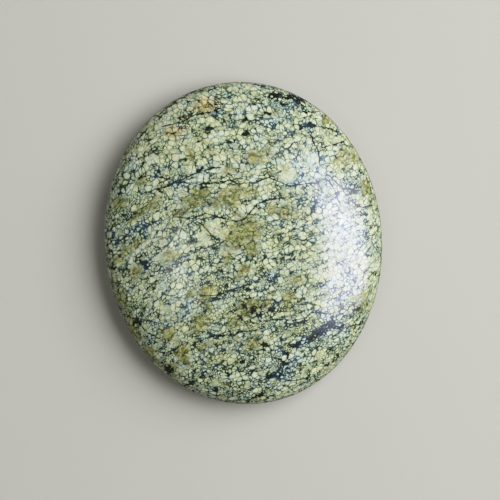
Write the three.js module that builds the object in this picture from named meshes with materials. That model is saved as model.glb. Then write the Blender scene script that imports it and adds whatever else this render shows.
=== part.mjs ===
// A polished oval palm stone: one solid pebble of serpentine, tumbled flat and smooth.
// Millimetres, +Z up. The stone lies on the small flat spot of its underside, which is
// centred on the origin. Its long axis runs along Y, with the broader end towards +Y.

import * as THREE from 'three';

// Driving dimensions of the plan
const LENGTH = 60;
const WIDTH = 51.6;
const TAPER = 0.017;          // share by which the +Y end is broader than the middle
const FULLNESS = 2.024;       // superellipse exponent of the plan, 2 being a true ellipse
const SWELL = 0.008;          // the quarter towards -X and -Y is this share fuller

// Driving dimensions of the section across the width: radii, and the slopes in degrees at
// which one arc runs into the next
const FLAT_SPOT = 14;         // diameter that the stone rests on
const BELLY_SLOPE = 8;        // belly to haunch
const HAUNCH = 14;
const HAUNCH_SLOPE = 24;      // haunch to the lower half of the rounded edge
const LOWER_EDGE = 3.0;
const UPPER_EDGE = 4.2;
const BROW_SLOPE = 25;        // upper half of the rounded edge to brow
const BROW = 36;
const CROWN_SLOPE = 8;        // brow to crown

// The stone is a little thicker on one side than on the other
const WEDGE = 0.05;
const THICK_SIDE = 15;        // degrees from +X towards +Y

// Facets
const FACETS_ROUND = 96;
const ARC_STEPS = { belly: 4, haunch: 4, lowerEdge: 7, upperEdge: 8, brow: 5, crown: 5 };

const radians = THREE.MathUtils.degToRad;

// The section is a chain of arcs that runs from the flat spot out, round the edge and back
// over the crown to the axis. Each arc starts in the direction that the last one ends in. The
// belly and the crown take the radii that bring the chain to the edge and back to the axis.
function section() {
  const edge = WIDTH / 2;
  const flat = FLAT_SPOT / 2;
  const belly = Math.sin(radians(BELLY_SLOPE));
  const haunch = Math.sin(radians(HAUNCH_SLOPE));
  const brow = Math.sin(radians(BROW_SLOPE));
  const crown = Math.sin(radians(CROWN_SLOPE));
  const bellyEnd = edge - LOWER_EDGE * (1 - haunch) - HAUNCH * (haunch - belly);
  const crownEnd = edge - UPPER_EDGE * (1 - brow) - BROW * (brow - crown);
  const arcs = [
    { radius: (bellyEnd - flat) / belly, end: BELLY_SLOPE, steps: ARC_STEPS.belly },
    { radius: HAUNCH, end: HAUNCH_SLOPE, steps: ARC_STEPS.haunch },
    { radius: LOWER_EDGE, end: 90, steps: ARC_STEPS.lowerEdge },
    { radius: UPPER_EDGE, end: 180 - BROW_SLOPE, steps: ARC_STEPS.upperEdge },
    { radius: BROW, end: 180 - CROWN_SLOPE, steps: ARC_STEPS.brow },
    { radius: crownEnd / crown, end: 180, steps: ARC_STEPS.crown },
  ];

  const points = [new THREE.Vector2(0, 0), new THREE.Vector2(flat, 0)];
  let heading = 0;
  for (const arc of arcs) {
    const start = points[points.length - 1];
    const centreX = start.x - arc.radius * Math.sin(heading);
    const centreY = start.y + arc.radius * Math.cos(heading);
    const turn = radians(arc.end) - heading;
    for (let step = 1; step <= arc.steps; step++) {
      const angle = heading + turn * (step / arc.steps);
      const x = centreX + arc.radius * Math.sin(angle);
      const y = centreY - arc.radius * Math.cos(angle);
      points.push(new THREE.Vector2(x, y));
    }
    heading = radians(arc.end);
  }
  points[points.length - 1].x = 0;
  return points;
}

// The share of a superellipse's half axis that it reaches, from the sine or cosine of an angle
function fuller(value) {
  return Math.sign(value) * Math.abs(value) ** (2 / FULLNESS);
}

// The plan of the stone: the point of its outline at an angle
function outline(angle) {
  const inFullQuarter = Math.cos(angle) < 0 && Math.sin(angle) < 0;
  const swell = inFullQuarter ? 1 + SWELL * Math.sin(2 * angle) ** 2 : 1;
  const along = fuller(Math.sin(angle));
  const across = fuller(Math.cos(angle)) * (1 + TAPER * along);
  return new THREE.Vector2(across * swell * WIDTH / 2, along * swell * LENGTH / 2);
}

// A round blank is turned from the section, and each of its points is then carried to the
// oval plan and lifted or lowered by the wedge.
function stone() {
  const geometry = new THREE.LatheGeometry(section(), FACETS_ROUND);
  geometry.rotateX(Math.PI / 2);
  const position = geometry.attributes.position;
  for (let i = 0; i < position.count; i++) {
    const x = position.getX(i);
    const y = position.getY(i);
    const reach = Math.hypot(x, y) / (WIDTH / 2);
    const angle = Math.atan2(y, x);
    const rim = outline(angle);
    const thicker = 1 + WEDGE * reach ** 2 * Math.cos(angle - radians(THICK_SIDE));
    position.setXYZ(i, rim.x * reach, rim.y * reach, position.getZ(i) * thicker);
  }
  geometry.computeVertexNormals();

  const serpentine = new THREE.MeshStandardMaterial({
    color: 0xa9ae88,
    roughness: 0.25,
    metalness: 0,
  });
  const mesh = new THREE.Mesh(geometry, serpentine);
  mesh.name = 'stone';
  return mesh;
}

const palmStone = new THREE.Group();
palmStone.add(stone());

export default palmStone;
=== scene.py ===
import math
import random

import bmesh
import bpy
import numpy as np
from mathutils import Matrix, Vector


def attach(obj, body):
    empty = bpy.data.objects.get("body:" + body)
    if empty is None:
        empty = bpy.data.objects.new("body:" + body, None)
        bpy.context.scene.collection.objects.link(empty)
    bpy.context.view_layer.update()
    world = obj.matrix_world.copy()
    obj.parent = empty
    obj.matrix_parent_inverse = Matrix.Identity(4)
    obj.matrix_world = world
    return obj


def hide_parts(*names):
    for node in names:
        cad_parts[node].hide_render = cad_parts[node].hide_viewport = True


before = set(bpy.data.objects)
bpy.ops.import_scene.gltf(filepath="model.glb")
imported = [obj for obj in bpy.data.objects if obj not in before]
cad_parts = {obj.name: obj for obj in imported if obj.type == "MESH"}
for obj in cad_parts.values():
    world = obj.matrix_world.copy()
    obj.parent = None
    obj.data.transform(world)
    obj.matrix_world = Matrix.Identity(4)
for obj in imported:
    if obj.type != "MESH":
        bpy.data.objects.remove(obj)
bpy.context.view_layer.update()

# ------------------------------------------------------------------------------------------
# The stone. One piece of serpentine, ground to an oval, tumbled until its edge was round, and
# polished: cream grains in a dark network, drawn out along the bedding. The mesh is a cube with
# finely divided faces, whose points are each carried to the surface of the stone.
# ------------------------------------------------------------------------------------------
MM = 0.001

# The plan, in millimetres, is a superellipse: a little broader at one end, by the taper, and a
# little fuller in one quarter, by the swell
LENGTH = 60.0
WIDTH = 51.6
TAPER = 0.017
FULLNESS = 2.024
SWELL = 0.008

# The section is a chain of arcs from the flat spot that the stone rests on to its crown. Each
# has a radius, and a slope in degrees that it ends at. One side is thicker, by the wedge.
FLAT_SPOT = 14.0
HAUNCH, LOWER_EDGE, UPPER_EDGE, BROW = 14.0, 3.0, 4.2, 36.0
BELLY_SLOPE, HAUNCH_SLOPE, BROW_SLOPE, CROWN_SLOPE = 8, 24, 25, 8
WEDGE = 0.05
THICK_SIDE = math.radians(15)


def section_arcs():
    """The arcs from the flat spot round the edge to the crown: radius, and heading at the end."""
    belly, haunch, brow, crown = (
        math.sin(math.radians(slope)) for slope in (BELLY_SLOPE, HAUNCH_SLOPE, BROW_SLOPE, CROWN_SLOPE)
    )
    belly_end = WIDTH / 2 - LOWER_EDGE * (1 - haunch) - HAUNCH * (haunch - belly)
    crown_end = WIDTH / 2 - UPPER_EDGE * (1 - brow) - BROW * (brow - crown)
    arcs = [
        ((belly_end - FLAT_SPOT / 2) / belly, BELLY_SLOPE),
        (HAUNCH, HAUNCH_SLOPE),
        (LOWER_EDGE, 90),
        (UPPER_EDGE, 180 - BROW_SLOPE),
        (BROW, 180 - CROWN_SLOPE),
        (crown_end / crown, 180),
    ]
    return [(radius, math.radians(end)) for radius, end in arcs]


ARCS = section_arcs()


def section(share):
    """Distance from the axis, and height, at a share of the way from the underside to the crown."""
    whole_way = FLAT_SPOT / 2
    heading = 0.0
    for radius, end in ARCS:
        whole_way += radius * (end - heading)
        heading = end
    way = share * whole_way - FLAT_SPOT / 2
    across = FLAT_SPOT / 2 + min(way, 0)
    height = 0.0
    heading = 0.0
    for radius, end in ARCS:
        if way <= 0:
            break
        turned = min(heading + way / radius, end)
        across += radius * (math.sin(turned) - math.sin(heading))
        height += radius * (math.cos(heading) - math.cos(turned))
        way -= radius * (end - heading)
        heading = end
    return max(across, 0.0), height


def fuller(value):
    """The share of a half axis that the plan reaches, from the sine or cosine of an angle."""
    return math.copysign(abs(value) ** (2 / FULLNESS), value)


def on_stone(direction):
    """The point of the stone's surface that a direction from its middle is carried to."""
    across, height = section(math.acos(max(-1.0, min(1.0, -direction.z))) / math.pi)
    reach = across / (WIDTH / 2)
    angle = math.atan2(direction.y, direction.x)
    cosine, sine = math.cos(angle), math.sin(angle)
    swell = 1 + SWELL * math.sin(2 * angle) ** 2 if cosine < 0 and sine < 0 else 1
    along = fuller(sine)
    x = fuller(cosine) * (1 + TAPER * along) * swell * WIDTH / 2
    y = along * swell * LENGTH / 2
    thicker = 1 + WEDGE * reach ** 2 * math.cos(angle - THICK_SIDE)
    return Vector((x * reach, y * reach, height * thicker)) * MM


# the squares along each edge of the cube, which the tangents even out
SQUARES = 128

mesh = bpy.data.meshes.new("polished_stone")
stone = bpy.data.objects.new("polished_stone", mesh)
bpy.context.scene.collection.objects.link(stone)
bm = bmesh.new()
bmesh.ops.create_cube(bm, size=2)
bmesh.ops.subdivide_edges(bm, edges=bm.edges[:], cuts=SQUARES - 1, use_grid_fill=True)
for vert in bm.verts:
    evened = Vector([math.tan(part * math.pi / 4) for part in vert.co])
    vert.co = on_stone(evened.normalized())
bmesh.ops.recalc_face_normals(bm, faces=bm.faces[:])
for face in bm.faces:
    face.smooth = True
bm.to_mesh(mesh)
bm.free()
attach(stone, "root")
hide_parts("stone")

# Where the markings lie. Each is kept on the mesh as a field that the material reads, mostly
# from 0 to 1. Places are in millimetres from the middle of the stone, seen from above.
points = np.empty(len(mesh.vertices) * 3, np.float32)
mesh.vertices.foreach_get("co", points)
X, Y, Z = points.reshape(-1, 3).T / MM

# the markings of one face give way to those of the other between these heights
ALL_LOWER, ALL_UPPER = 3.0, 5.0
UPPER_FACE = np.clip((Z - ALL_LOWER) / (ALL_UPPER - ALL_LOWER), 0, 1)
LOWER_FACE = 1 - UPPER_FACE


def keep_field(name, values):
    """Keeps a number, or a vector, of each point of the mesh under a name."""
    kind, part = ("FLOAT", "value") if values.ndim == 1 else ("FLOAT_VECTOR", "vector")
    kept = mesh.attributes.new(name, kind, "POINT")
    kept.data.foreach_set(part, values.astype(np.float32).ravel())


# The bedding crosses the stone in gentle curves, along each of which its height is the same. It
# climbs towards +X, more steeply at both ends of the width and most at the -X end, and fans out.
CLIMB, BEND, FAN, STEEPER = 0.20, 0.0038, 0.0045, 0.00028


def bedding_height(x, y):
    return y - CLIMB * x + BEND * x ** 2 + FAN * x * y - STEEPER * x ** 3


def bedding_slope(x, y):
    return (CLIMB - 2 * BEND * x - FAN * y + 3 * STEEPER * x ** 2) / (1 + FAN * x)


# The grains are drawn out along the bedding, less so towards +X. They slant in the plan, and
# the bedding tilts with the height.
DRAWN, ROUNDER, SLANT, TILT = 0.90, 0.004, 0.25, 0.35
along_bedding = X * (DRAWN + ROUNDER / 2 * X) + SLANT * Y
across_bedding = bedding_height(X, Y) + TILT * Z
keep_field("bedding", np.stack([along_bedding, across_bedding, Z], axis=1))


def patches(places, face=UPPER_FACE):
    """Each place is x, y, half length along the bedding, half width, and strength. The value is
    the strength in the middle of a patch, half of it at the rim, and 0 at twice its size."""
    strongest = np.zeros_like(X)
    for x, y, long, wide, strength in places:
        turn = math.atan(bedding_slope(x, y))
        east, north = X - x, Y - y
        along = (east * math.cos(turn) + north * math.sin(turn)) / long
        aside = (north * math.cos(turn) - east * math.sin(turn)) / wide
        strongest = np.maximum(strongest, strength * (1 - np.hypot(along, aside) / 2))
    return strongest * face


chance = random.Random(11)


def strewn(count, longest, widest):
    """Places strewn over the whole plan for the lower face, the same on each run."""
    places = []
    for _ in range(count):
        x = chance.uniform(-24, 24)
        y = chance.uniform(-28, 28)
        long = chance.uniform(0.4, longest)
        wide = chance.uniform(0.3, widest)
        places.append((x, y, long, wide, chance.uniform(0.6, 1.0)))
    return places


# Pools where the dark network widens. The places along the left and lower-left rim are partly
# painted shade: they darken the rim where it turns away from the lamps.
POOLS_AND_RIM_SHADE = [
    (8.7, 26.5, 1.5, 0.7, 1.0), (11.3, 26.0, 1.5, 0.6, 1.0), (13.5, 25.4, 1.6, 0.7, 1.0),
    (9.9, 24.7, 1.5, 0.5, 0.8), (6.9, 23.3, 0.9, 0.5, 1.0), (5.2, 22.5, 0.9, 0.4, 0.8),
    (13.8, 22.9, 1.1, 0.6, 0.8), (14.8, 20.4, 1.3, 0.7, 1.0), (12.6, 20.1, 1.5, 0.5, 1.0),
    (10.1, 19.8, 0.9, 0.4, 0.7), (2.4, 20.0, 0.6, 0.5, 1.0), (8.3, 18.3, 0.4, 0.4, 0.7),
    (1.6, 24.2, 1.1, 0.4, 0.6), (-1.7, 21.0, 0.6, 0.4, 0.6), (18.3, 14.0, 1.0, 0.45, 1.0),
    (-4.2, 21.6, 1.3, 0.4, 0.8), (-6.4, 19.4, 0.6, 0.4, 0.8), (-8.9, 16.3, 0.6, 0.4, 0.7),
    (-2.3, 25.0, 0.5, 0.5, 0.8), (22.9, 1.9, 0.9, 0.5, 0.8), (3.6, -3.2, 0.9, 0.3, 0.8),
    (19.9, 8.5, 0.9, 0.4, 0.5), (20.4, 7.0, 1.3, 0.35, 0.9), (-14.1, 14.7, 0.6, 0.5, 1.0),
    (-6.8, 14.2, 1.5, 0.4, 1.0), (-4.3, 14.4, 0.5, 0.3, 0.9), (-5.8, 12.4, 1.3, 0.3, 0.8),
    (-8.6, 12.8, 1.3, 0.5, 0.6), (-11.4, 11.9, 1.5, 0.5, 0.6), (-2.7, 11.6, 1.5, 0.3, 0.7),
    (-12.8, 9.4, 0.4, 0.4, 0.9), (-5.4, 9.6, 0.5, 0.3, 0.8), (-12.3, 6.1, 0.4, 0.3, 0.9),
    (-18.3, -2.1, 0.8, 1.2, 1.0), (-24.3, -2.2, 0.5, 0.6, 0.8), (-24.6, 7.1, 0.4, 0.6, 0.7),
    (-13.8, 3.6, 0.9, 0.6, 0.5), (-9.1, 4.2, 0.6, 0.3, 0.6), (13.4, 5.1, 0.6, 0.5, 0.7),
    (12.1, 2.8, 0.6, 0.4, 0.6), (0.0, -8.8, 0.9, 0.5, 0.8), (-1.0, -11.4, 0.7, 0.6, 0.8),
    (-1.9, -13.5, 0.8, 0.6, 0.9), (3.8, -12.8, 0.9, 0.5, 1.0), (1.5, -13.7, 0.9, 0.5, 1.0),
    (2.8, -12.1, 0.5, 0.4, 0.9), (0.4, -12.4, 1.0, 0.7, 0.8), (-2.8, -14.5, 0.6, 0.4, 0.8),
    (12.2, -12.5, 0.5, 0.3, 0.9), (12.0, -9.0, 0.6, 0.5, 0.6), (-5.6, -16.3, 0.9, 0.4, 0.5),
    (14.3, -16.6, 2.0, 1.2, 0.9), (16.3, -17.2, 1.0, 0.4, 0.9), (12.4, -17.8, 1.6, 0.8, 1.0),
    (10.6, -18.7, 1.5, 0.7, 1.0), (8.0, -19.7, 1.6, 0.7, 1.0), (5.7, -21.4, 0.8, 1.1, 1.0),
    (5.1, -23.0, 0.8, 1.2, 1.0), (4.2, -24.7, 0.9, 1.0, 1.0), (2.6, -25.0, 1.0, 0.7, 1.0),
    (2.0, -19.0, 0.6, 0.5, 1.0), (5.4, -18.4, 0.7, 0.6, 0.7), (19.3, -14.4, 0.9, 0.4, 1.0),
    (20.1, -16.9, 0.5, 0.4, 1.0), (21.5, -13.7, 0.4, 0.6, 0.6), (10.9, -26.7, 0.7, 0.3, 0.9),
    (9.6, -25.9, 0.9, 0.4, 0.9), (13.6, -23.9, 1.3, 0.35, 0.8), (3.9, -6.4, 0.9, 0.35, 0.7),
    (0.2, -28.3, 0.7, 0.7, 1.0), (1.7, -29.0, 0.7, 0.4, 0.8), (-0.6, -23.9, 0.7, 0.4, 0.8),
    (-2.4, -21.8, 0.6, 0.5, 1.0), (-0.5, -28.4, 0.7, 0.5, 0.9), (-5.2, -23.9, 1.1, 0.5, 0.9),
    (-10.0, -23.5, 0.9, 0.6, 0.7), (-12.3, -24.9, 1.3, 0.6, 0.9), (-7.9, -26.4, 0.7, 0.5, 0.9),
    (-16.3, -22.0, 0.9, 0.8, 1.0), (-5.1, -27.4, 0.9, 0.4, 0.6), (-21.2, -12.4, 1.2, 0.8, 1.0),
    (-22.9, -0.4, 0.8, 0.9, 0.8), (-21.9, -2.8, 0.9, 0.8, 0.8), (-24.2, 4.7, 0.5, 0.9, 0.7),
    (-24.6, -9.5, 0.6, 1.1, 0.8), (-23.4, -14.0, 0.6, 1.0, 0.8), (-20.0, -19.5, 0.8, 0.9, 0.8),
    (-17.6, -22.9, 0.7, 0.6, 0.8), (-12.5, -26.4, 0.9, 0.5, 0.8), (-24.9, 1.2, 0.4, 0.9, 0.7),
    (-22.7, 14.2, 0.5, 0.9, 0.7), (-20.3, 19.0, 0.6, 0.7, 0.7), (-16.9, 16.8, 0.9, 0.5, 0.6),
]
keep_field("pools_and_rim_shade", patches(POOLS_AND_RIM_SHADE) + patches(strewn(60, 1.3, 0.8), LOWER_FACE))

# Olive stains. The places along the left and lower-left rim are partly painted shade as well,
# darkening the rim where it turns away from the lamps.
OLIVE_AND_RIM_SHADE = [
    (-7.8, 8.9, 1.9, 1.1, 0.9), (-11.0, 7.0, 1.3, 0.6, 0.8), (-1.5, 8.6, 2.0, 1.2, 0.8),
    (-1.2, 13.7, 0.9, 0.7, 0.7), (-8.1, 17.2, 0.6, 1.0, 0.8), (-22.0, 9.7, 1.1, 0.9, 0.9),
    (-17.7, 7.9, 2.6, 0.7, 0.7), (-19.6, 2.1, 1.1, 0.7, 0.4), (-21.6, 0.9, 0.9, 0.7, 0.5),
    (-23.2, -0.8, 0.7, 0.9, 0.5), (-20.6, -3.2, 1.2, 1.3, 0.6), (-17.7, 13.3, 0.9, 0.7, 0.5),
    (-24.0, -8.5, 0.9, 1.8, 0.7), (-22.6, -14.2, 1.2, 1.8, 0.8), (-19.8, -18.9, 1.2, 1.4, 0.9),
    (-13.8, -1.3, 1.3, 0.9, 0.7), (0.6, 2.2, 2.0, 2.3, 1.0), (-1.6, 0.6, 1.5, 1.6, 0.9),
    (1.0, -0.6, 1.3, 1.5, 0.9), (-3.0, -2.4, 0.8, 0.7, 0.9), (1.1, -2.4, 0.7, 0.7, 0.4),
    (-7.2, -7.7, 0.9, 0.8, 0.9), (-0.3, -4.9, 1.1, 0.6, 0.7), (-1.7, -5.9, 1.7, 0.6, 0.5),
    (2.3, -5.0, 0.7, 0.6, 0.4), (3.8, 15.7, 2.2, 1.3, 0.6), (1.9, 8.9, 1.4, 0.9, 0.6),
    (5.8, 5.8, 0.7, 0.8, 1.0), (8.6, 5.0, 1.1, 1.5, 0.7), (20.7, 13.7, 2.3, 1.1, 0.6),
    (17.7, 21.0, 0.7, 0.5, 1.0), (23.6, 7.6, 0.7, 1.4, 0.8), (-8.0, -10.1, 0.8, 1.3, 0.8),
    (-9.5, -13.8, 1.4, 1.2, 0.9), (-10.9, -8.3, 0.7, 0.6, 0.5), (-15.6, -15.4, 1.0, 0.9, 0.7),
    (-13.4, -19.0, 1.1, 1.4, 0.8), (-9.9, -18.3, 0.7, 0.9, 0.6), (-6.8, -20.4, 0.9, 0.9, 0.3),
    (-3.7, -14.3, 0.9, 0.9, 1.0), (0.1, -12.0, 2.0, 1.2, 1.0), (3.0, -11.0, 1.1, 0.7, 0.9),
    (7.1, -11.2, 1.4, 1.5, 0.5), (8.9, -7.9, 0.9, 1.5, 0.5), (4.4, -10.2, 0.9, 0.7, 0.5),
    (-0.9, -18.1, 1.9, 1.3, 0.5), (7.3, -17.1, 1.4, 0.7, 0.4), (20.6, -13.4, 1.5, 1.5, 0.5),
    (-15.7, -22.0, 0.9, 1.1, 0.8), (-23.9, -5.4, 0.7, 1.5, 0.2), (-22.7, -11.4, 0.7, 1.1, 0.5),
]
keep_field("olive_and_rim_shade", patches(OLIVE_AND_RIM_SHADE) + patches(strewn(44, 1.9, 1.2), LOWER_FACE))

# Rust stains
RUST = [
    (-4.2, 26.1, 1.9, 1.0, 0.9), (-10.6, 21.9, 1.8, 0.9, 0.9), (-8.5, 24.2, 0.8, 0.5, 0.7),
    (-6.3, 25.6, 1.2, 0.6, 0.7),
]
keep_field("rust", patches(RUST))

# Where the network is blue. The places in the glare on the right, and the one in the faint glare
# at the lower left, are partly painted reflection: their blue stands in for the bluish light mirrored
# there.
BLUE_AND_REFLECTION_TINT = [
    (-10.2, 13.0, 3.0, 1.4, 1.0), (-16.5, 13.2, 4.5, 1.0, 0.7), (13.5, 11.0, 3.0, 2.6, 1.0),
    (15.0, 5.5, 2.6, 4.0, 1.0), (19.8, -1.5, 2.6, 3.0, 0.9), (18.0, -10.0, 2.6, 3.0, 0.7),
    (14.2, -17.4, 3.6, 1.9, 1.0), (9.0, -20.0, 2.8, 1.5, 1.0), (5.3, -23.4, 1.6, 2.6, 1.0),
    (2.8, -25.6, 2.2, 0.9, 0.9), (-19.5, 4.6, 2.2, 1.6, 0.9), (-18.2, -2.0, 1.3, 1.1, 0.8),
    (-23.5, 3.0, 1.4, 3.0, 0.6), (-2.0, -8.4, 2.4, 0.9, 0.8), (0.4, 24.2, 2.8, 1.0, 0.9),
    (7.5, 21.5, 3.0, 1.1, 0.8), (9.6, 23.8, 3.6, 1.2, 0.9), (11.5, 19.6, 2.6, 0.9, 0.8),
    (-12.5, -12.0, 1.2, 1.6, 0.6), (-19.0, 16.0, 2.2, 1.2, 0.6), (4.0, -7.0, 2.4, 0.7, 0.6),
]
keep_field("blue", patches(BLUE_AND_REFLECTION_TINT) + patches(strewn(16, 3.5, 1.6), LOWER_FACE))

# Large grains that the network goes round
PLAIN = [
    (9.4, 11.3, 1.7, 1.4, 1.0), (14.2, 13.9, 1.5, 1.4, 1.0), (-5.2, 3.3, 1.6, 1.6, 1.0),
    (-7.4, 1.7, 1.6, 1.5, 1.0), (-14.3, -1.0, 2.3, 1.2, 1.0), (-15.7, -6.5, 1.5, 0.8, 1.0),
    (-19.5, -13.9, 1.2, 0.9, 1.0), (-13.8, -15.8, 1.0, 0.8, 1.0), (19.1, 17.2, 1.3, 0.6, 1.0),
]
keep_field("plain", patches(PLAIN))

# Regions where the grains are finer and the network blacker, or, below zero, the other way. The
# busy places along the left and lower-left rim are partly painted shade, blackening the rim where
# it turns away from the lamps.
BUSY_AND_RIM_SHADE = [
    (-18.9, 3.4, 6.0, 6.0, 0.6), (0.1, -11.3, 5.2, 3.7, 0.9), (-4.1, -24.9, 8.4, 4.1, 1.0),
    (6.6, -20.8, 5.6, 3.3, 0.7), (11.0, 24.7, 4.5, 2.2, 0.7), (2.0, -12.8, 3.0, 1.6, 1.5),
    (-22.5, -11.0, 2.2, 5.6, 1.0), (-20.5, 14.0, 2.2, 3.0, 0.6), (-16.6, 17.4, 2.2, 1.6, 0.8),
    (-6.7, -6.6, 2.0, 1.5, 1.2), (-9.0, -16.6, 2.0, 1.6, 0.8), (-11.5, -22.6, 2.2, 1.5, 1.2),
    (-5.6, 20.4, 2.4, 1.3, 0.7), (10.0, -2.8, 1.6, 1.6, 0.7), (19.4, -14.8, 1.5, 2.6, 0.7),
    (2.9, -24.4, 1.6, 1.3, 1.2), (-18.6, -13.2, 1.8, 1.4, 0.7), (21.6, 4.6, 1.2, 3.0, 0.6),
]
# The calm place over the glare on the right, at 17.5, -3.1, is partly a painted highlight: it thins and
# pales the network where the reflection washes it out.
CALM_AND_PAINTED_HIGHLIGHT = [
    (4.9, 12.7, 5.2, 3.0, 1.0), (16.9, 15.5, 4.8, 4.8, 1.0), (-7.8, 18.5, 8.0, 6.0, 0.9),
    (-14.2, -9.2, 4.5, 3.7, 0.3), (17.5, -3.1, 6.0, 8.0, 1.0), (-4.8, 3.8, 2.6, 3.3, 0.3),
    (11.6, 8.4, 2.4, 1.6, 1.0), (2.4, 17.5, 1.4, 2.4, 0.7), (5.6, 1.4, 3.4, 1.6, 0.6),
    (10.2, 22.5, 2.0, 1.2, 1.8), (21.4, 13.5, 1.8, 3.2, 1.0), (-9.4, 11.3, 3.2, 1.3, 1.1),
    (-0.9, 10.3, 1.8, 1.0, 1.2), (-17.0, 1.2, 3.0, 1.2, 0.9), (-10.5, -1.6, 1.8, 1.2, 0.6),
    (-5.4, -10.4, 1.6, 1.0, 1.0), (1.6, -20.0, 1.8, 0.9, 1.2), (8.0, -23.0, 2.2, 1.6, 1.8),
    (-1.7, -24.8, 1.5, 1.2, 2.0), (-9.5, 24.4, 3.4, 0.9, 0.8), (0.0, 27.6, 3.5, 0.9, 0.7),
    (-1.4, -5.5, 1.7, 0.9, 1.1), (6.8, -12.2, 1.6, 1.2, 0.7), (-4.4, 26.3, 2.0, 0.9, 0.6),
]
keep_field("busy", patches(BUSY_AND_RIM_SHADE) - patches(CALM_AND_PAINTED_HIGHLIGHT))

# Cracks filled with the dark mineral: the points that each runs through
CRACKS = [
    [(-17.0, 11.1), (-13.5, 11.8), (-10.6, 12.4), (-6.8, 11.6), (-2.4, 11.4), (-1.4, 11.8), (0.2, 10.9)],
    [(0.2, 10.9), (3.6, 10.9), (5.7, 11.5), (8.0, 10.5), (9.2, 9.6), (15.2, 9.7)],
    [(-12.0, 12.3), (-6.7, 13.9), (-2.9, 14.3)],
    [(-18.3, -1.8), (-15.0, 0.3), (-13.1, 1.8)],
    [(-4.1, 5.2), (-0.9, 4.1), (0.4, 4.2), (3.3, 6.9), (6.8, 7.6), (8.3, 7.5)],
    [(-7.2, 4.2), (-5.4, 1.6), (-4.6, 1.0)],
    [(-5.7, -0.6), (-3.5, 0.7)],
    [(14.5, 18.8), (14.7, 17.4), (15.6, 15.3), (15.5, 12.7)],
    [(16.2, 16.0), (18.1, 16.3), (20.4, 16.8)],
    [(16.7, 9.9), (17.7, 8.2), (18.5, 5.1)],
    [(20.4, 5.8), (22.3, 4.3), (24.2, 4.5)],
    [(8.8, -0.1), (11.1, -0.7), (12.9, 0.3)],
    [(1.5, -14.6), (6.1, -14.7), (7.0, -15.2), (10.0, -14.9), (11.3, -14.0), (14.0, -14.6)],
    [(-3.4, -16.7), (-2.6, -16.2), (0.7, -16.2)],
    [(-17.4, -18.4), (-16.3, -18.7), (-14.2, -18.0)],
    [(-17.4, 21.2), (-15.3, 23.2)],
    [(-12.7, 23.0), (-9.0, 23.5), (-6.7, 24.4), (-3.3, 24.7), (-1.9, 25.2)],
    [(-11.2, 26.5), (-8.8, 28.1), (-7.0, 27.7)],
    [(4.3, -25.6), (6.2, -26.3), (9.2, -26.1)],
    [(15.2, 20.2), (17.7, 19.5), (19.4, 18.7)],
    [(11.0, 17.4), (10.2, 16.5), (10.0, 14.9)],
    [(16.7, 11.0), (19.2, 8.2), (22.0, 7.4)],
    [(-17.9, 13.8), (-16.2, 14.2), (-12.4, 13.2)],
    [(-12.0, 6.0), (-8.7, 5.4), (-6.4, 6.2), (-4.1, 5.2)],
    [(-22.6, -11.4), (-20.2, -12.0), (-17.6, -12.9)],
    [(-21.4, -12.1), (-19.4, -14.6), (-17.4, -16.0)],
    [(-8.6, -8.9), (-5.5, -9.0), (-2.2, -8.2), (0.4, -7.6)],
    [(-10.6, -17.4), (-7.6, -16.5), (-5.2, -16.6)],
]

# The distance to the nearest crack, up to the far value. It is below zero on one side of the
# crack, so that the material can shift the crack sideways.
FAR = 0.6
nearest = np.full_like(X, FAR)
for crack in CRACKS:
    for (x0, y0), (x1, y1) in zip(crack, crack[1:]):
        length = math.hypot(x1 - x0, y1 - y0)
        east, north = (x1 - x0) / length, (y1 - y0) / length
        along = (X - x0) * east + (Y - y0) * north
        aside = (Y - y0) * east - (X - x0) * north
        beyond = along - np.clip(along, 0, length)
        apart = np.where(aside < 0, -1, 1) * np.hypot(aside, beyond)
        nearest = np.where(np.abs(apart) < np.abs(nearest), apart, nearest)
keep_field("crack_side", nearest)
keep_field("crack_near", (1 - np.abs(nearest) / FAR) * UPPER_FACE)

# The material. Distances are in millimetres, and scales are grains or blotches to the millimetre.
material = bpy.data.materials.new("polished_serpentine")
material.use_nodes = True
tree = material.node_tree
shader = tree.nodes["Principled BSDF"]
mesh.materials.append(material)


def lay(kind, inputs=None, **settings):
    """Adds a shader node, sets it, fills or joins its sockets, and returns it."""
    made = tree.nodes.new("ShaderNode" + kind)
    for name, value in settings.items():
        setattr(made, name, value)
    for socket, value in (inputs or {}).items():
        if isinstance(value, bpy.types.NodeSocket):
            tree.links.new(value, made.inputs[socket])
        else:
            made.inputs[socket].default_value = value
    return made


def calc(operation, *values):
    return lay("Math", dict(enumerate(values)), operation=operation).outputs[0]


def ramp(value, low, high, to_low=0.0, to_high=1.0):
    """A soft step from to_low to to_high while the value goes from low to high."""
    sockets = {"Value": value, "From Min": low, "From Max": high, "To Min": to_low, "To Max": to_high}
    return lay("MapRange", sockets, interpolation_type="SMOOTHSTEP").outputs["Result"]


def blend(share, first, second, kind="MIX"):
    sockets = {0: share, 6: first, 7: second}
    return lay("Mix", sockets, data_type="RGBA", blend_type=kind).outputs[2]


def tint(share, first, shade):
    """The first colour as seen through a share of the shade."""
    return blend(share, first, shade, "MULTIPLY")


def field(name, output="Fac"):
    return lay("Attribute", attribute_name=name).outputs[output]


def cloud(where, per_mm, detail, output="Fac"):
    sockets = {"Vector": where, "Scale": per_mm, "Detail": detail}
    return lay("TexNoise", sockets, noise_dimensions="3D").outputs[output]


def drawn_out(where, share):
    """The place as clouds and grains need it to come out longer along the bedding."""
    return lay("VectorMath", {0: where, 1: (share, 1.0, 1.0)}, operation="MULTIPLY").outputs[0]


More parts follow.
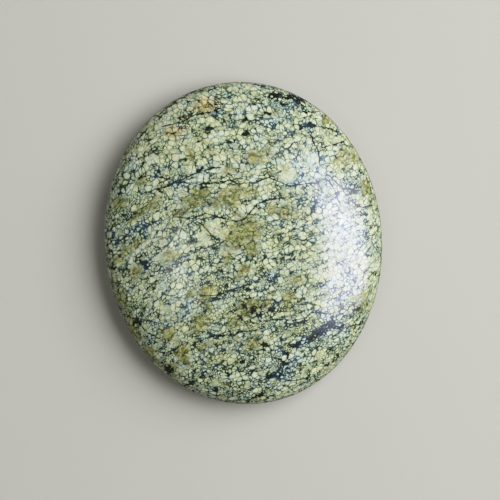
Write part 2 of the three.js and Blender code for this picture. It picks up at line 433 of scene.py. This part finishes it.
def warp(where, per_mm, amount):
    """The place shoved about by a cloud, by up to about half the amount."""
    shove = cloud(where, per_mm, 1.0, "Color")
    shove = lay("VectorMath", {0: shove, 1: (0.5, 0.5, 0.5)}, operation="SUBTRACT").outputs[0]
    shove = lay("VectorMath", {0: shove, "Scale": amount}, operation="SCALE").outputs[0]
    return lay("VectorMath", {0: where, 1: shove}, operation="ADD").outputs[0]


def grains(where, per_mm):
    """Packed grains: the distance to the nearest border, the grain, and its neighbour."""
    sockets = {"Vector": where, "Scale": per_mm, "Randomness": 0.9}
    own = lay("TexVoronoi", sockets, feature="F1")
    neighbour = lay("TexVoronoi", sockets, feature="F2")
    apart = calc("SUBTRACT", neighbour.outputs["Distance"], own.outputs["Distance"])
    corners_rounded = ramp(own.outputs["Distance"], 0.45, 0.85, 0.02, -0.03)
    return calc("MULTIPLY", calc("ADD", apart, corners_rounded), 0.5 / per_mm), own, neighbour


def tone(grain, channel=0):
    """A value from 0 to 1 of each grain's own."""
    return lay("SeparateColor", {0: grain.outputs["Color"]}).outputs[channel]


def darkness(where):
    """A cloud drawn out along the bedding, higher where the busy regions are."""
    return calc("MULTIPLY_ADD", field("busy"), 0.10, cloud(drawn_out(where, 0.35), 0.8, 2.0))


def whole(grain, calm, busy):
    """1 in a grain that is left whole, 0 in one that is broken up into the next finer ones."""
    toughness = calc("MULTIPLY_ADD", tone(grain), 0.85, 0.10)
    return calc("GREATER_THAN", toughness, ramp(darkness(grain.outputs["Position"]), calm, busy))


def ragged(name, where, per_mm, amount, low, high):
    """A marking's field as a mask from 0 to 1 whose rim a cloud has eaten into."""
    worn = calc("MULTIPLY_ADD", cloud(where, per_mm, 2.0), amount, -amount / 2)
    return ramp(calc("ADD", field(name), worn), low, high)


# the place within the bedding, shoved about more and more finely
bedding = field("bedding", "Vector")
folded = warp(bedding, 0.2, 1.6)
wavy = warp(folded, 0.9, 0.35)
rough = warp(wavy, 3.2, 0.13)

pools_and_rim_shade = ragged("pools_and_rim_shade", rough, 1.6, 1.0, 0.38, 0.95)
olive_and_rim_shade = ragged("olive_and_rim_shade", rough, 0.6, 1.4, -0.10, 0.55)
rust = ragged("rust", rough, 0.7, 0.8, 0.05, 0.60)
plain = ragged("plain", wavy, 0.7, 0.3, 0.40, 0.65)

# how black the network is, and where it breaks off
ink = darkness(wavy)
breaks = cloud(wavy, 0.9, 1.0)

# The distance to the network. Large grains lie among medium and small ones, into which the
# broken ones fall. A border that isn't drawn is put out of reach.
OUT_OF_REACH = 0.5
LARGE_BREAK = (0.36, 0.54)
MEDIUM_BREAK = (0.44, 0.66)


def drawn_border(distance, left_whole, beside, calm_and_busy):
    """The distance to a border, out of reach where both grains beside the border are broken."""
    either_whole = calc("MAXIMUM", left_whole, whole(beside, *calm_and_busy))
    return calc("MULTIPLY_ADD", either_whole, -OUT_OF_REACH, calc("ADD", distance, OUT_OF_REACH))


large_apart, large, beside_large = grains(rough, 1.0)
medium_apart, medium, beside_medium = grains(rough, 1.55)
small_apart = grains(rough, 2.6)[0]
whole_large = whole(large, *LARGE_BREAK)
whole_medium = whole(medium, *MEDIUM_BREAK)
large_line = drawn_border(large_apart, whole_large, beside_large, LARGE_BREAK)
medium_line = drawn_border(medium_apart, whole_medium, beside_medium, MEDIUM_BREAK)
small_line = calc("MULTIPLY_ADD", small_apart, 1.2, 0.020)
small_line = calc("MULTIPLY_ADD", whole_medium, OUT_OF_REACH, small_line)
finer_line = calc("MINIMUM", medium_line, small_line)
finer_line = calc("MULTIPLY_ADD", whole_large, OUT_OF_REACH, finer_line)
apart = calc("MINIMUM", large_line, finer_line)

# The network is thinner where it breaks off, and thicker where it is black and in seams along
# the bedding. Each marking makes it thicker by a number of millimetres, or thinner below zero.
seam_apart = grains(drawn_out(wavy, 0.3), 0.5)[0]
seams = calc("MULTIPLY", ramp(seam_apart, 0.0, 0.22, 1.0, 0.0), ramp(ink, 0.42, 0.58))
apart = calc("ADD", apart, ramp(breaks, 0.38, 0.58, 0.034, -0.005))
apart = calc("ADD", apart, ramp(ink, 0.36, 0.70, 0.008, -0.006))
THICKER = [(field("busy"), 0.013), (seams, 0.033), (pools_and_rim_shade, 0.18), (olive_and_rim_shade, -0.025), (plain, -0.05)]
for marking, thicker in THICKER:
    apart = calc("MULTIPLY_ADD", marking, -thicker, apart)

# the cracks wander a little, fade at their ends, and are thinner where the network breaks off
WANDER = 0.5
shift = calc("MULTIPLY_ADD", cloud(wavy, 1.5, 2.0), WANDER, -WANDER / 2)
crack = calc("ABSOLUTE", calc("ADD", field("crack_side"), shift))
crack = calc("ADD", crack, ramp(field("crack_near"), 0.05, 0.30, 0.5, 0.0))
apart = calc("SUBTRACT", apart, ramp(crack, 0.0, 0.3, 0.05, 0.0))
apart = calc("MINIMUM", apart, calc("ADD", crack, ramp(breaks, 0.3, 0.7, 0.0, -0.10)))

# the colour at each distance, from the middle of the network to the middle of a grain
NETWORK = [
    (-0.04, (0.007, 0.009, 0.005)),
    (0.00, (0.012, 0.019, 0.010)),
    (0.026, (0.035, 0.058, 0.030)),
    (0.042, (0.138, 0.205, 0.118)),
    (0.066, (0.435, 0.517, 0.341)),
    (0.13, (0.604, 0.648, 0.458)),
    (0.26, (0.680, 0.720, 0.518)),
]
NEAREST, FARTHEST = NETWORK[0][0], NETWORK[-1][0]
shades = lay("ValToRGB")
while len(shades.color_ramp.elements) < len(NETWORK):
    shades.color_ramp.elements.new(0.5)
for element, (place, shade) in zip(shades.color_ramp.elements, NETWORK):
    element.position = (place - NEAREST) / (FARTHEST - NEAREST)
    element.color = (*shade, 1)
share = calc("DIVIDE", calc("SUBTRACT", apart, NEAREST), FARTHEST - NEAREST)
tree.links.new(share, shades.inputs[0])
colour = shades.outputs["Color"]

# Some grains are greyer, the medium ones more so than the large. All are mottled, and warmer
# in some regions than in others.
GREY_MEDIUM, GREY_LARGE = 0.22, 0.08
GREYER = (0.76, 0.82, 0.76, 1)
WARMER, COOLER = (1.02, 1.0, 0.85, 1), (0.96, 0.99, 1.04, 1)
grey = calc("MULTIPLY_ADD", whole_large, -GREY_MEDIUM, GREY_MEDIUM)
grey = calc("MULTIPLY", tone(medium, 1), grey)
grey = calc("MULTIPLY_ADD", tone(large, 1), GREY_LARGE, grey)
colour = tint(grey, colour, GREYER)
mottle = ramp(cloud(rough, 6.0, 2.0), 0.3, 0.7, 0.65, 1.27)
colour = tint(1.0, colour, mottle)
cast = blend(ramp(cloud(wavy, 0.35, 3.0), 0.38, 0.62), WARMER, COOLER)
colour = tint(1.0, colour, cast)

# the network is navy in streaks, less so in the pools, and tints the rims of the grains there;
# in the glare this blue is partly painted reflection
NAVY = (0.018, 0.034, 0.045, 1)
BLUE_RIM_AND_REFLECTION = (0.80, 0.98, 1.36, 1)
streaks = cloud(drawn_out(wavy, 0.5), 0.9, 3.0)
bluer_and_reflection_tint = ramp(calc("MULTIPLY_ADD", field("blue"), 0.22, streaks), 0.51, 0.66)
veil = calc("MULTIPLY", bluer_and_reflection_tint, ramp(pools_and_rim_shade, 0.0, 1.0, 0.8, 0.4))
veil = calc("MULTIPLY", veil, ramp(apart, 0.03, 0.08, 1.0, 0.0))
colour = blend(veil, colour, NAVY)
rims_and_reflection_tint = calc("MULTIPLY", bluer_and_reflection_tint, ramp(apart, 0.05, 0.16, 1.0, 0.0))
colour = tint(rims_and_reflection_tint, colour, BLUE_RIM_AND_REFLECTION)

# the stains lie over grains and network alike; along the left rim the olive is partly painted shade
OCHRE, OLIVE_BROWN = (0.575, 0.53, 0.23, 1), (0.26, 0.24, 0.09, 1)
RUST_BROWN = (1.04, 0.80, 0.56, 1)
olive_shade = blend(ramp(cloud(rough, 1.6, 3.0), 0.43, 0.58), OCHRE, OLIVE_BROWN)
stain_and_rim_shade = calc("MULTIPLY", olive_and_rim_shade, ramp(cloud(rough, 2.0, 3.0), 0.38, 0.50, 0.5, 1.0))
colour = tint(stain_and_rim_shade, colour, olive_shade)
colour = tint(rust, colour, RUST_BROWN)
tree.links.new(colour, shader.inputs["Base Color"])

# The stains and the network took a little less polish than the grains. The network lies a hair
# lower, and the whole surface is faintly wavy from the tumbling.
WAVE, STEP = 0.030, 0.003
shader.inputs["IOR"].default_value = 1.56
duller = calc("MAXIMUM", calc("MULTIPLY", olive_and_rim_shade, 0.08), ramp(apart, 0.0, 0.08, 0.05, 0.0))
roughness = calc("ADD", duller, ramp(cloud(wavy, 0.6, 2.0), 0.3, 0.7, 0.14, 0.22))
tree.links.new(roughness, shader.inputs["Roughness"])
height = calc("MULTIPLY_ADD", cloud(folded, 0.35, 2.0), WAVE, ramp(apart, 0.0, 0.12, 0.0, STEP))
relief = lay("Bump", {"Height": height, "Distance": MM})
tree.links.new(relief.outputs["Normal"], shader.inputs["Normal"])

# ------------------------------------------------------------------------------------------
# The floor. A plain pale sheet of painted board, wide enough to fill the view. The stone's
# polish doesn't show it, as it would draw a pale line round the edge.
# ------------------------------------------------------------------------------------------
FLOOR_REACH = 1.5
floor_mesh = bpy.data.meshes.new("floor")
bm = bmesh.new()
bmesh.ops.create_grid(bm, x_segments=1, y_segments=1, size=FLOOR_REACH)
bm.to_mesh(floor_mesh)
bm.free()
floor = bpy.data.objects.new("floor", floor_mesh)
bpy.context.scene.collection.objects.link(floor)
paint = bpy.data.materials.new("pale_paint")
paint.use_nodes = True
painted = paint.node_tree.nodes["Principled BSDF"]
painted.inputs["Base Color"].default_value = (0.50, 0.49, 0.43, 1)
painted.inputs["Roughness"].default_value = 0.8
floor_mesh.materials.append(paint)
floor.visible_glossy = False

# ------------------------------------------------------------------------------------------
# The camera and the lamps, in metres. The camera looks straight down, turned a little against
# the stone. The lamps are softboxes, all at the right of the picture but the fill. Two sheens
# show only in the polish, and the broad top lamp lights the stone without showing in it.
# ------------------------------------------------------------------------------------------
LEAN = math.radians(5.95)
VIEW_WIDTH = 92.88 * MM
DISTANCE = 0.6
MIDDLE_OF_STONE = 6 * MM
AIM_RIGHT = 1.21 * MM
AIM_DOWN = 1.29 * MM
camera_data = bpy.data.cameras.new("overhead")
camera_data.sensor_width = 36
camera_data.lens = camera_data.sensor_width * DISTANCE / VIEW_WIDTH
camera_data.clip_start = 0.01
camera = bpy.data.objects.new("overhead", camera_data)
bpy.context.scene.collection.objects.link(camera)
right = Vector((math.cos(LEAN), -math.sin(LEAN), 0))
up = Vector((math.sin(LEAN), math.cos(LEAN), 0))
camera.location = right * AIM_RIGHT - up * AIM_DOWN + Vector((0, 0, DISTANCE + MIDDLE_OF_STONE))
camera.rotation_euler = (0, 0, -LEAN)
bpy.context.scene.camera = camera

LAMP_DISTANCE = 0.6


def softbox(name, azimuth, zenith, width, height, power, colour, roll=0):
    """A soft rectangle that faces the stone. The angles are in degrees: azimuth from the
    picture's right, zenith from straight above, and roll of the rectangle in its plane."""
    light = bpy.data.lights.new(name, "AREA")
    light.shape = "RECTANGLE"
    light.size, light.size_y = width, height
    light.energy = power
    light.color = colour
    lamp = bpy.data.objects.new(name, light)
    bpy.context.scene.collection.objects.link(lamp)
    angle = math.radians(azimuth) - LEAN
    tilt = math.radians(zenith)
    toward = Vector((math.cos(angle) * math.sin(tilt), math.sin(angle) * math.sin(tilt), math.cos(tilt)))
    lamp.location = toward * LAMP_DISTANCE
    turn = Matrix.Rotation(angle - math.pi / 2, 3, "Z") @ Matrix.Rotation(-tilt, 3, "X")
    turn = turn @ Matrix.Rotation(math.radians(roll), 3, "Z")
    lamp.rotation_euler = turn.to_euler()
    return lamp


DAYLIGHT = (0.90, 0.90, 1.0)
LILAC = (0.72, 0.70, 1.0)
SKY_BLUE = (0.55, 0.62, 1.0)
softbox("key", azimuth=-2, zenith=35, width=0.40, height=0.27, power=0.7, colour=DAYLIGHT, roll=18)
sheen = softbox("sheen", azimuth=-4, zenith=36, width=0.34, height=0.27, power=2.7, colour=LILAC, roll=18)
sheen.visible_diffuse = False
softbox("side", azimuth=24, zenith=64, width=0.30, height=0.16, power=0.5, colour=DAYLIGHT)
top = softbox("top", azimuth=20, zenith=38, width=0.50, height=0.50, power=4.35, colour=(0.97, 0.98, 1.0))
top.visible_glossy = False
upper_sheen = softbox(
    "upper sheen", azimuth=30, zenith=30, width=0.28, height=0.14, power=0.70, colour=SKY_BLUE, roll=30
)
upper_sheen.visible_diffuse = False
softbox("fill", azimuth=198, zenith=21, width=0.16, height=0.10, power=0.20, colour=(0.88, 0.93, 1.0))

AMBIENT = 0.14
world = bpy.data.worlds.new("studio")
world.use_nodes = True
background = world.node_tree.nodes["Background"]
background.inputs["Color"].default_value = (1, 0.99, 0.88, 1)
background.inputs["Strength"].default_value = AMBIENT
bpy.context.scene.world = world

# bright parts are eased towards white, as film does: how bright a part is, and how it shows
SHOULDER = [(0.0, 0.0), (0.50, 0.50), (0.75, 0.69), (1.0, 0.80), (1.3, 0.89), (1.6, 0.95)]
BRIGHTEST = SHOULDER[-1][0]
view = bpy.context.scene.view_settings
view.view_transform = "Standard"
view.use_curve_mapping = True
view.curve_mapping.white_level = (BRIGHTEST, BRIGHTEST, BRIGHTEST)
easing = view.curve_mapping.curves[3].points
while len(easing) < len(SHOULDER):
    easing.new(0.5, 0.5)
for point, (bright, shown) in zip(easing, SHOULDER):
    point.location = (bright / BRIGHTEST, shown)
view.curve_mapping.update()
